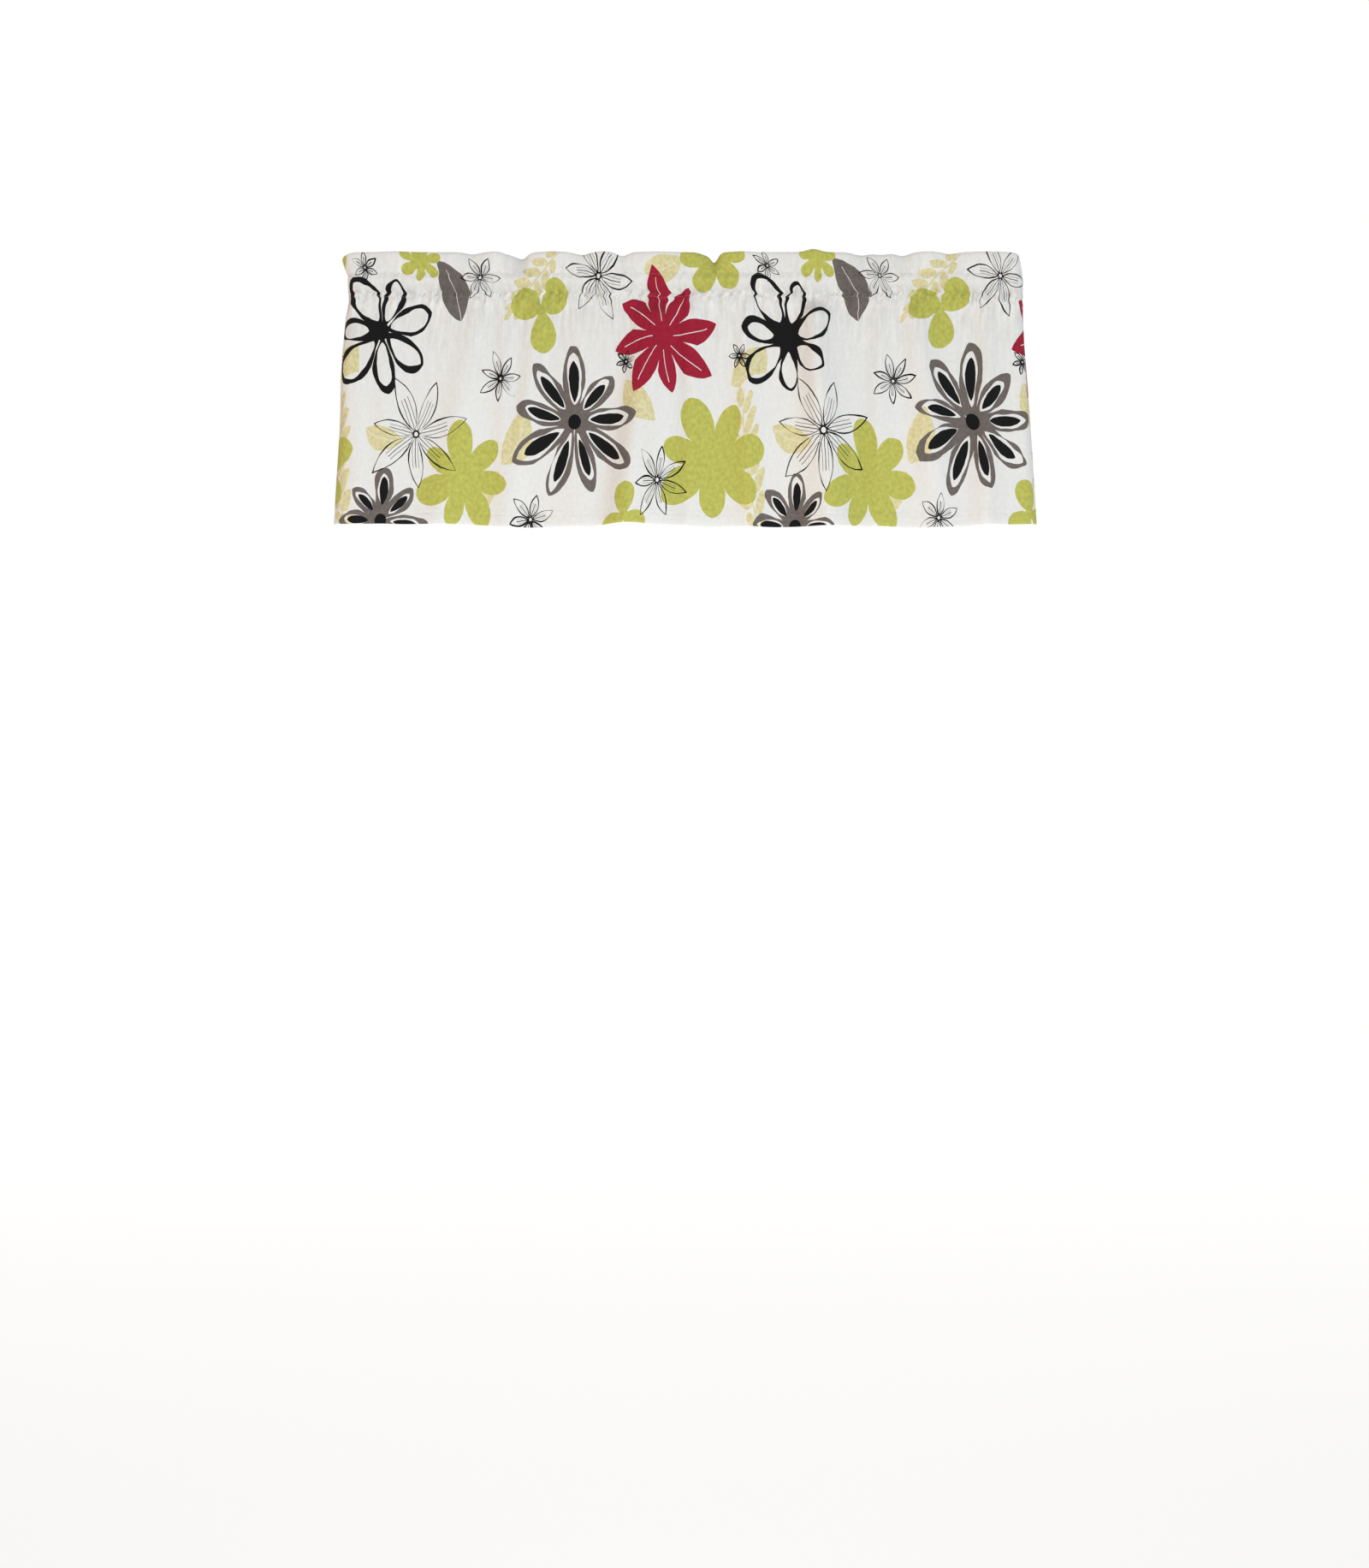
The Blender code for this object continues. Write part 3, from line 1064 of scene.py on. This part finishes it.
    def creased(self, along: np.ndarray, z: np.ndarray) -> np.ndarray:
        """Soft creases: ridges and troughs that fade in and out over their own lengths.

        Args:
            along: Distance from the middle, along the line.
            z: Height of each place.

        Returns:
            How far the creases stand off the cloth.
        """
        total = 0
        for crease in CREASES:
            share = (-z / MM - crease.top) / (crease.foot - crease.top)
            centre = crease.top_at + (crease.foot_at - crease.top_at) * share
            fade = eased(share * 5 + 0.5) * eased((1 - share) * 2)
            total = total + crease.depth * fade * ridge(along / MM - centre, crease.reach)
        return total * MM

    def skirt(self, z: np.ndarray, behind: float = 0.0) -> Strip:
        """Rows of the hanging cloth.

        Under the lower seam the cloth runs smoothly from the seam's line to the folds. Its front
        widens with the fall to the power of the flare's curve, and the hem's sags grow with the
        square of the fall. The hem's stitching pinches the cloth, which rolls a little there.

        Args:
            z: The rows' heights on the flat cloth, in the order in which they run.
            behind: How far behind the face they lie, for the hem's turned-up layer.

        Returns:
            The rows.
        """
        z = z[:, None]
        fall = np.clip((self.base - z) / (self.base + self.drop), 0, 1)
        straight = self.rod.half_front
        half_front = straight + self.flare * fall**self.flare_curve
        size = np.abs(self.places)
        along = np.where(
            size < straight, size * half_front / straight, size - straight + half_front
        )
        along = np.sign(self.places) * along
        hung = self.fold_offset(along, fall) + (self.solid - self.thickness) / 2
        hung = hung + self.creased(along, z)
        seam = self.seam_set + self.seam_half
        near = eased((self.lower_seam - z) / self.neck)
        out = seam + (hung - seam) * near + self.puckers(z)
        from_hem = (z + self.drop - self.hem) / MM
        s = self.places / MM
        rolls = self.hem_roll * wave(s, 31, 2 * wave(s, 170)) * ridge(from_hem, 9.0)
        out = out - self.hem_pinch * ridge(from_hem, 1.6) + rolls - behind
        level = z + self.wander(z) - self.ridges(SAGS, "drop") * fall**2
        return Strip(-z[:, 0], out, level, along, half_front)

    def hem_fold(self, foot: Strip, steps: int) -> Strip:
        """The hem's fold: a half circle from the face to the turned-up layer.

        Args:
            foot: The face's last row, above the fold.
            steps: The number of rows.

        Returns:
            The rows.
        """
        angle = np.linspace(0, math.pi, steps + 2)[1:-1, None]
        back = self.hem_turn * (1 - np.cos(angle))
        z = foot.z - self.hem_turn * np.sin(angle)
        out = foot.offset - back
        return Strip(self.drop + back[:, 0], out, z, foot.along, foot.half_front)

    def strips(self) -> list[Strip]:
        """Every row of the cloth, closer together at the seams, in the neck and at the hem.

        Returns:
            The rows, from the pocket's turned edge over the top to the hem's turned edge.
        """
        top, upper, lower = -self.top_half, self.upper_seam, self.lower_seam
        near, neck = 6 * MM, lower - 40 * MM
        line, foot = self.hem - self.drop, self.thickness / 2 + self.hem_turn - self.drop
        back = spaced(self.base, (lower, 1), (upper, 8), (top, 5))
        front = spaced(top, (upper, 8), (upper - near, 4), (lower + near, 6), (lower, 4))
        hung = spaced(lower, (neck, 14), (line + 4 * MM, 25), (line - 3 * MM, 5), (foot, 2))
        turned = self.skirt(spaced(foot, (line - MM, 3)), behind=2 * self.hem_turn)
        last = self.skirt(np.array([foot]))
        return [
            self.heading(back, -1),
            self.top_fold(3),
            self.heading(front, 1),
            self.skirt(hung[1:]),
            self.hem_fold(last, 3),
            turned._replace(down=2 * self.drop - turned.down),
        ]

    def surface(self) -> tuple[np.ndarray, np.ndarray, np.ndarray]:
        """The middle of the cloth's thickness.

        Returns:
            Its points, as rows by columns by 3; its outward normals; and its flat places. A
            normal is the cross product of the directions down and along the cloth. A row's flat
            places are spread by its length so far, so that gathers take up more of the print.
        """
        strips = self.strips()
        points = np.concatenate(
            [self.rod.place(s.along, s.offset, s.z, s.half_front) for s in strips]
        )
        down, along = np.gradient(points, axis=(0, 1))
        normals = np.cross(down, along)
        normals /= np.linalg.norm(normals, axis=-1, keepdims=True)
        spread = np.zeros(points.shape[:2])
        spread[:, 1:] = np.cumsum(np.linalg.norm(np.diff(points, axis=1), axis=-1), axis=1)
        spread = (spread / spread[:, -1:] - 0.5) * self.flat[0]
        fallen = np.concatenate([s.down for s in strips])[:, None] + 0 * spread
        return points, normals, np.stack([spread, fallen], axis=-1)

    def side_turning(self, down: np.ndarray) -> np.ndarray:
        """Extra thickness on the reverse, where the sides are turned in along the skirt.

        Args:
            down: Each row's flat distance from the ruffle's top.

        Returns:
            The thickness, as rows by columns.
        """
        inward = self.rod.half_length - np.abs(self.places)
        turned = 1 - eased((inward - self.side_hem) / self.hem_fade)
        fade, clear = 2 * self.hem_fade, self.hem_fade
        hung = eased((down + self.lower_seam - fade) / fade)
        hung = hung * eased((self.drop - clear - down) / fade)
        return self.thickness * hung[:, None] * turned[None, :]

    def build(self) -> bpy.types.Object:
        """Makes the cloth: its face, its reverse, and rims that close the four edges.

        Returns:
            The cloth's object.
        """
        points, normals, flat = self.surface()
        half = self.thickness / 2
        face = points + normals * half
        reverse = points - normals * (half + self.side_turning(flat[:, 0, 1])[..., None])
        over = np.arange(face[..., 0].size).reshape(face.shape[:2])
        under = over + over.size
        faces = np.concatenate(
            [
                quads(over[:-1, :-1], over[1:, :-1], over[1:, 1:], over[:-1, 1:]),
                quads(under[:-1, :-1], under[:-1, 1:], under[1:, 1:], under[1:, :-1]),
                quads(over[0, :-1], over[0, 1:], under[0, 1:], under[0, :-1]),
                quads(over[-1, :-1], under[-1, :-1], under[-1, 1:], over[-1, 1:]),
                quads(over[:-1, 0], under[:-1, 0], under[1:, 0], over[1:, 0]),
                quads(over[:-1, -1], over[1:, -1], under[1:, -1], under[:-1, -1]),
            ]
        )
        vertices = np.concatenate([face.reshape(-1, 3), reverse.reshape(-1, 3)])
        piece = mesh_piece("valance_cloth", vertices, faces)
        add_map(piece, self.flat_map, np.concatenate([flat.reshape(-1, 2)] * 2))
        add_mark(piece, self.reverse_mark, np.repeat([0.0, 1.0], over.size))
        self.dress(piece)
        return piece

    def dress(self, piece: bpy.types.Object) -> None:
        """Gives the cloth its finish, hangs it from the root body and hides the solids that it
        stands for.

        Args:
            piece: The cloth's object.
        """
        piece.data.materials.append(self.finish.material())
        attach(piece, "root")
        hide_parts("heading_front", "heading_return_left", "heading_return_right", "skirt")


# --- Meshes ---


def quads(*corners: np.ndarray) -> np.ndarray:
    """Four-sided faces from four arrays of vertex numbers, one for each corner."""
    return np.stack([corner.reshape(-1) for corner in corners], axis=-1)


def mesh_piece(name: str, vertices: np.ndarray, faces: np.ndarray) -> bpy.types.Object:
    """Makes a smooth mesh object at the origin.

    Args:
        name: The piece's name.
        vertices: Points, as n by 3.
        faces: Vertex numbers, as m by the corners of a face.

    Returns:
        The object, linked to the scene.
    """
    mesh = bpy.data.meshes.new(name)
    count, corners = faces.shape
    mesh.vertices.add(len(vertices))
    mesh.vertices.foreach_set("co", vertices.astype(np.float32).ravel())
    mesh.loops.add(count * corners)
    mesh.loops.foreach_set("vertex_index", faces.astype(np.int32).ravel())
    mesh.polygons.add(count)
    mesh.polygons.foreach_set("loop_start", np.arange(0, count * corners, corners, dtype=np.int32))
    mesh.update(calc_edges=True)
    mesh.validate()
    mesh.shade_smooth()
    piece = bpy.data.objects.new(name, mesh)
    bpy.context.scene.collection.objects.link(piece)
    return piece


def add_map(piece: bpy.types.Object, name: str, places: np.ndarray) -> None:
    """Adds a map that gives each vertex's flat place to every corner that uses it.

    Args:
        piece: The mesh object.
        name: The map's name.
        places: The flat places, as vertices by 2.
    """
    mesh = piece.data
    corners = np.empty(len(mesh.loops), dtype=np.int32)
    mesh.loops.foreach_get("vertex_index", corners)
    layer = mesh.uv_layers.new(name=name)
    layer.uv.foreach_set("vector", places[corners].astype(np.float32).ravel())


def add_mark(piece: bpy.types.Object, name: str, values: np.ndarray) -> None:
    """Adds a number to each vertex, under that name."""
    mark = piece.data.attributes.new(name, "FLOAT", "POINT")
    mark.data.foreach_set("value", values.astype(np.float32))


# --- The stitching ---


@dataclass
class Stitching:
    """Rows of machine stitches, each a short thread that dips into the cloth at both ends."""

    cloth: Cloth
    finish: SpunThread = field(default_factory=SpunThread)
    pitch: float = 0.0032
    length: float = 0.002
    radius: float = 0.00011
    stand: float = 0.00004  # how far a stitch's middle stands off the cloth
    dip: float = 0.4  # how deep its ends dip, over its radius and stand
    thinned: float = 1 / 3  # its radius at its ends, over that at its middle
    side_inset: float = 0.0105  # from the cloth's side edge to the side hem's stitches
    sides: int = 5
    rings: int = 4

    def row(self, line: np.ndarray, outward: np.ndarray) -> tuple[np.ndarray, np.ndarray]:
        """Stitches along a line on the cloth.

        Each thread is a tube round the line between two needle holes. Its centre rises by the
        sine of the way across, and its radius shrinks to a third at its ends.

        Args:
            line: Points of the line on the cloth's surface, as n by 3.
            outward: The cloth's normals there.

        Returns:
            Vertices, and faces of four corners.
        """
        steps = np.linalg.norm(np.diff(line, axis=0), axis=1)
        run = np.concatenate([[0], np.cumsum(steps)])
        starts = np.arange(self.pitch / 2, run[-1] - self.length, self.pitch)
        across = np.linspace(0, 1, self.rings)
        at = starts[:, None] + across[None, :] * self.length
        centre = np.stack([np.interp(at, run, line[:, k]) for k in range(3)], axis=-1)
        out = np.stack([np.interp(at, run, outward[:, k]) for k in range(3)], axis=-1)
        out /= np.linalg.norm(out, axis=-1, keepdims=True)
        way = centre[:, -1:] - centre[:, :1]
        way = way / np.linalg.norm(way, axis=-1, keepdims=True)
        beside = np.cross(way, out)
        rise = np.sin(math.pi * across)[None, :, None]
        lifted = rise * (1 + self.dip) - self.dip
        centre = centre + out * (self.stand + self.radius) * lifted
        angle = np.linspace(0, TAU, self.sides, endpoint=False)[:, None]
        ring = np.cos(angle) * out[:, :, None] + np.sin(angle) * beside[:, :, None]
        thin = self.radius * (self.thinned + (1 - self.thinned) * np.sqrt(rise))[..., None]
        vertices = centre[:, :, None] + ring * thin
        number = np.arange(vertices[..., 0].size).reshape(vertices.shape[:3])
        following = np.roll(number, -1, axis=2)
        faces = quads(number[:, :-1], following[:, :-1], following[:, 1:], number[:, 1:])
        return vertices.reshape(-1, 3), faces

    def build(self) -> list[bpy.types.Object]:
        """Sews the upper and lower seams through both layers, the hem and both side hems.

        Returns:
            The pieces of stitching.
        """
        cloth = self.cloth
        points, normals, flat = cloth.surface()
        face, down = points + normals * cloth.thickness / 2, flat[:, 0, 1]
        upper, lower = -cloth.upper_seam, -cloth.lower_seam
        hung = slice(nearest(down, lower + 6 * MM), nearest(down, cloth.drop - MM))
        left = nearest(cloth.places, self.side_inset - cloth.rod.half_length)
        seams = {
            "upper_seam_stitches": (nearest(down, upper), nearest(down, -upper)),
            "lower_seam_stitches": (nearest(down, lower), nearest(down, -lower)),
            "hem_stitches": (nearest(down, cloth.drop - cloth.hem),),
            "side_hem_stitches": ((hung, left), (hung, -1 - left)),
        }
        material = self.finish.material()
        made = []
        for name, places in seams.items():
            rows = [self.row(face[place], normals[place]) for place in places]
            vertices = np.concatenate([row[0] for row in rows])
            starts = np.cumsum([0] + [len(row[0]) for row in rows[:-1]])
            faces = np.concatenate([row[1] + start for row, start in zip(rows, starts)])
            piece = mesh_piece(name, vertices, faces)
            piece.data.materials.append(material)
            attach(piece, "root")
            made.append(piece)
        return made


# --- The studio ---


class Lamp(NamedTuple):
    """A square soft light."""

    name: str
    place: tuple[float, float, float]
    size: float  # metres along a side
    power: float  # watts
    colour: tuple[float, float, float]


LAMPS = (
    Lamp("key", (8.2, -17.5, -0.2), 8.0, 1458.0, (0.875, 0.946, 1.0)),
    Lamp("fill", (-16.8, -4.5, -0.4), 7.2, 612.0, (1.0, 0.5, 0.12)),
    Lamp("low", (0.0, -1.7, -1.45), 0.7, 11.3, (1.0, 0.99, 0.97)),
)


@dataclass
class Studio:
    """A pale floor and backdrop, soft lights, and the camera at the photograph's angle."""

    frame: Point = (1600, 1832)  # the photograph, in pixels
    top_middle: Point = (801, 295)  # where the ruffle's top middle falls in it
    pixel: float = 0.0012  # one pixel at the cloth
    distance: float = 2.6
    sensor: float = 36.0
    far: float = 9.0  # half width of the floor and of the backdrop
    floor_z: float = -1.86
    floor_glow: float = 0.42  # strength of its own even light
    backdrop_y: float = 3.4
    backdrop_heights: Point = (-2.0, 6.0)
    surround: float = 0.265  # strength of the even light from all round
    aim: tuple[float, float, float] = (0.0, 0.0, -0.2)  # what the lamps face

    def build(self) -> None:
        """Makes the whole studio."""
        self.make_camera()
        self.make_stage()
        self.make_lights()

    def make_camera(self) -> None:
        """A level camera, straight in front, whose frame is the photograph's."""
        wide, tall = self.frame
        data = bpy.data.cameras.new("camera")
        data.sensor_width = self.sensor
        data.lens = self.sensor * self.distance / (tall * self.pixel)
        data.clip_end = 60
        camera = bpy.data.objects.new("camera", data)
        x = (wide / 2 - self.top_middle[0]) * self.pixel
        z = -(tall / 2 - self.top_middle[1]) * self.pixel
        camera.location = (x, -self.distance, z)
        camera.rotation_euler = (math.pi / 2, 0, 0)
        bpy.context.scene.collection.objects.link(camera)
        bpy.context.scene.camera = camera

    def make_stage(self) -> None:
        """A level floor and an upright backdrop, both plain and pale."""
        face = np.array([[0, 1, 2, 3]])
        far, (low, high) = self.far, self.backdrop_heights
        level = np.array([[-far, -far, 0], [far, -far, 0], [far, far, 0], [-far, far, 0]])
        floor = mesh_piece("floor", level + [0, 0, self.floor_z], face)
        floor.data.materials.append(self.paint())
        upright = np.array([[-far, 0, low], [far, 0, low], [far, 0, high], [-far, 0, high]])
        backdrop = mesh_piece("backdrop", upright + [0, self.backdrop_y, 0], face)
        backdrop.data.materials.append(self.paper())
        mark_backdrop(floor, backdrop)

    def paint(self) -> bpy.types.Material:
        """The floor's pale matt finish, which also gives a little even light.

        Returns:
            The material.
        """
        pale = linear(250, 250, 249)
        inputs = {"Base Color": pale, "Roughness": 0.9, "Emission Color": pale}
        return Bench("floor_paint").dressed({**inputs, "Emission Strength": self.floor_glow})

    def paper(self) -> bpy.types.Material:
        """The backdrop's evenly lit white.

        Returns:
            The material.
        """
        bench = Bench("backdrop_paper")
        glow = bench.add("ShaderNodeEmission", {0: (1.0, 1.0, 1.0, 1.0), 1: 1.0})
        bench.feed(bench.tree.nodes["Material Output"].inputs["Surface"], glow)
        return bench.material

    def make_lights(self) -> None:
        """The lamps of the table, and even light from all round."""
        world = bpy.data.worlds.new("studio")
        world.use_nodes = True
        surround = world.node_tree.nodes["Background"]
        surround.inputs["Color"].default_value = (1.0, 1.0, 1.0, 1.0)
        surround.inputs["Strength"].default_value = self.surround
        bpy.context.scene.world = world
        bpy.context.scene.view_settings.view_transform = "Standard"
        for lamp in LAMPS:
            self.area(lamp)

    def area(self, lamp: Lamp) -> None:
        """Adds a square soft light that faces the middle of the cloth.

        Args:
            lamp: Its place, size, power and colour.
        """
        data = bpy.data.lights.new(lamp.name, "AREA")
        data.size = lamp.size
        data.energy = lamp.power
        data.color = lamp.colour
        light = bpy.data.objects.new(lamp.name, data)
        light.location = lamp.place
        way = Vector(self.aim) - light.location
        light.rotation_euler = way.to_track_quat("-Z", "Y").to_euler()
        bpy.context.scene.collection.objects.link(light)


def corners(box: tuple) -> list[list[float]]:
    """A box's lowest and highest corner as plain lists."""
    return [[float(number) for number in corner] for corner in box]


def main() -> None:
    """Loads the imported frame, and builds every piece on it."""
    logging.basicConfig(level=logging.INFO, format="%(name)s: %(message)s")
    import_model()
    solid_box = corners(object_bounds())

    cloth = Cloth()
    piece = cloth.build()
    LOG.info("%s: %d faces", piece.name, len(piece.data.polygons))
    stitches = Stitching(cloth).build()
    for row in stitches:
        LOG.info("%s: %d faces", row.name, len(row.data.polygons))

    Studio().build()
    LOG.info("studio: camera, floor, backdrop and lights")

    {"cad": solid_box, "visual": corners(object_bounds())}


if __name__ == "__main__":
    main()
